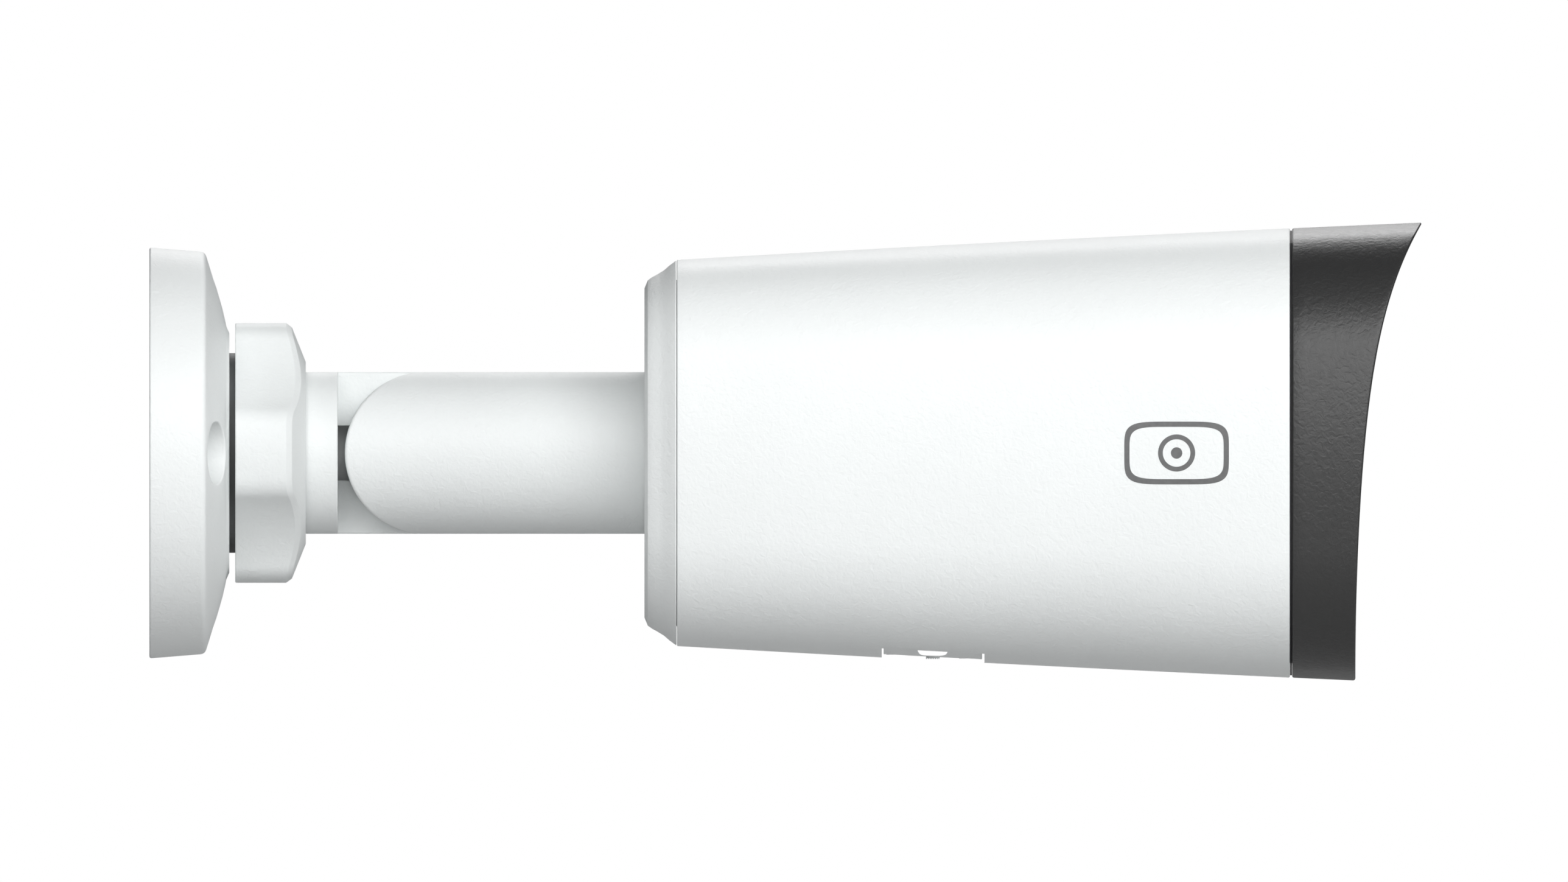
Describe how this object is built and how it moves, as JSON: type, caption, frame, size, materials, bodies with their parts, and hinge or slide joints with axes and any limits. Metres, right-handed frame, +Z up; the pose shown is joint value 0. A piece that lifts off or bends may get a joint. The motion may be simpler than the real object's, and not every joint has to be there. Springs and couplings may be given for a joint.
{
  "type": "security camera",
  "caption": "Outdoor bullet security camera with a hooded window, on a three-axis wall bracket with a lock nut, an elbow and a swivel arm.",
  "frame": {"origin": "centre of the bracket's wall face", "axes": "+X from the wall to the camera's nose, +Z up"},
  "size_m": [0.268, 0.0958, 0.0963],
  "materials": {
    "shell": "white powder coat with a fine leather grain, satin",
    "visor": "dark grey powder coat with the same fine grain, satin",
    "rubber": "matt black moulded rubber",
    "steel": "bright zinc-plated",
    "alloy": "plain pressed aluminium",
    "black_plastic": "glossy black moulded plastic",
    "nylon": "natural nylon, matt",
    "window_glass": "clear polished",
    "lens_glass": "coated optical glass",
    "circuit_board": "green solder mask",
    "led_lens": "dark clear epoxy",
    "brass": "machined"
  },
  "bodies": {
    "base": {"base_plate": "shell", "seat_washer": "nylon"},
    "nut_carrier": {"slip_ring": "nylon"},
    "lock_nut": {"lock_nut": "shell"},
    "stem": {"stem": "shell", "cable_grommet": "rubber", "elbow_washer": "nylon"},
    "screw_carrier": {"tilt_lock_washer": "steel"},
    "tilt_screw": {"tilt_screw": "steel"},
    "arm": {"arm": "shell", "threaded_insert": "brass"},
    "hatch": {"hatch_cover": "shell", "hatch_screw_1": "steel", "hatch_screw_2": "steel"},
    "reset_button": {"reset_button": "nylon"},
    "ircut_filter": {"ircut_filter": "lens_glass"},
    "zoom_ring": {"zoom_ring": "black_plastic"},
    "zoom_pinion": {"zoom_pinion": "brass"},
    "focus_ring": {"focus_ring": "black_plastic"},
    "focus_pinion": {"focus_pinion": "brass"},
    "camera": {"swivel_oring": "rubber", "swivel_retainer": "alloy", "rear_cover": "shell", "rear_gasket": "rubber", "rear_screw_1": "steel", "rear_screw_2": "steel", "rear_screw_3": "steel", "rear_screw_4": "steel", "housing": "shell", "hatch_seal": "rubber", "front_gasket": "rubber", "visor": "visor", "front_screw_1": "steel", "front_screw_2": "steel", "front_screw_3": "steel", "front_screw_4": "steel", "front_bezel": "black_plastic", "front_glass": "window_glass", "glass_gasket": "rubber", "chassis": "alloy", "main_board": "circuit_board", "thermal_pad": "nylon", "heat_sink": "alloy", "network_connector": "nylon", "service_board": "circuit_board", "sd_socket": "steel", "reset_switch": "black_plastic", "sensor_board": "circuit_board", "lens_mount": "black_plastic", "lens_barrel": "black_plastic", "lens_front": "lens_glass", "zoom_motor": "steel", "focus_motor": "steel", "led_board": "circuit_board", "ir_led_1": "led_lens", "ir_led_2": "led_lens", "ir_led_3": "led_lens", "ir_led_4": "led_lens", "light_sensor": "lens_glass", "light_seal": "rubber"}
  },
  "joints": [
    {"name": "nut_travel", "type": "slide", "parent": "base", "child": "nut_carrier", "axis": [1, 0, 0], "range_m": [0, 0.0015]},
    {"name": "nut_turn", "type": "hinge", "parent": "nut_carrier", "child": "lock_nut", "pos_m": [0.0255, 0, 0], "axis": [1, 0, 0], "range_deg": [0, 360.5]},
    {"name": "pan", "type": "hinge", "parent": "base", "child": "stem", "pos_m": [0.028, 0, 0], "axis": [1, 0, 0], "range_deg": [-180, 180]},
    {"name": "screw_travel", "type": "slide", "parent": "stem", "child": "screw_carrier", "axis": [0, 1, 0], "range_m": [0, 0.0005]},
    {"name": "screw_turn", "type": "hinge", "parent": "screw_carrier", "child": "tilt_screw", "pos_m": [0.0581, 0.01, 0], "axis": [0, 1, 0], "range_deg": [0, 180.5]},
    {"name": "tilt", "type": "hinge", "parent": "stem", "child": "arm", "pos_m": [0.0581, 0, 0], "axis": [0, 1, 0], "range_deg": [0, 90]},
    {"name": "roll", "type": "hinge", "parent": "arm", "child": "camera", "pos_m": [0.1075, 0, 0], "axis": [1, 0, 0], "range_deg": [-180, 180]},
    {"name": "hatch_lift", "type": "slide", "parent": "camera", "child": "hatch", "axis": [0, 0, -1], "range_m": [0, 0.02]},
    {"name": "reset_press", "type": "slide", "parent": "camera", "child": "reset_button", "axis": [0, 0, 1], "range_m": [0, 0.00025], "stiffness_N_per_m": 2000},
    {"name": "filter_shift", "type": "slide", "parent": "camera", "child": "ircut_filter", "axis": [0, 1, 0], "range_m": [0, 0.008]},
    {"name": "zoom_ring_turn", "type": "hinge", "parent": "camera", "child": "zoom_ring", "pos_m": [0.20825, 0, 0], "axis": [1, 0, 0], "range_deg": [0, 90]},
    {"name": "zoom_pinion_spin", "type": "hinge", "parent": "camera", "child": "zoom_pinion", "pos_m": [0.20825, -0.01992, 0], "axis": [1, 0, 0], "range_deg": [-324.5, 0.5]},
    {"name": "focus_ring_turn", "type": "hinge", "parent": "camera", "child": "focus_ring", "pos_m": [0.21725, 0, 0], "axis": [1, 0, 0], "range_deg": [0, 90]},
    {"name": "focus_pinion_spin", "type": "hinge", "parent": "camera", "child": "focus_pinion", "pos_m": [0.21725, 0.01992, 0], "axis": [1, 0, 0], "range_deg": [-324.5, 0.5]}
  ],
  "couplings": [
    {"joint": "nut_turn", "follows": "nut_travel", "rad_per_m": 4188.8},
    {"joint": "screw_turn", "follows": "screw_travel", "rad_per_m": 6283.2},
    {"joint": "zoom_pinion_spin", "follows": "zoom_ring_turn", "ratio": -3.6},
    {"joint": "focus_pinion_spin", "follows": "focus_ring_turn", "ratio": -3.6}
  ]
}
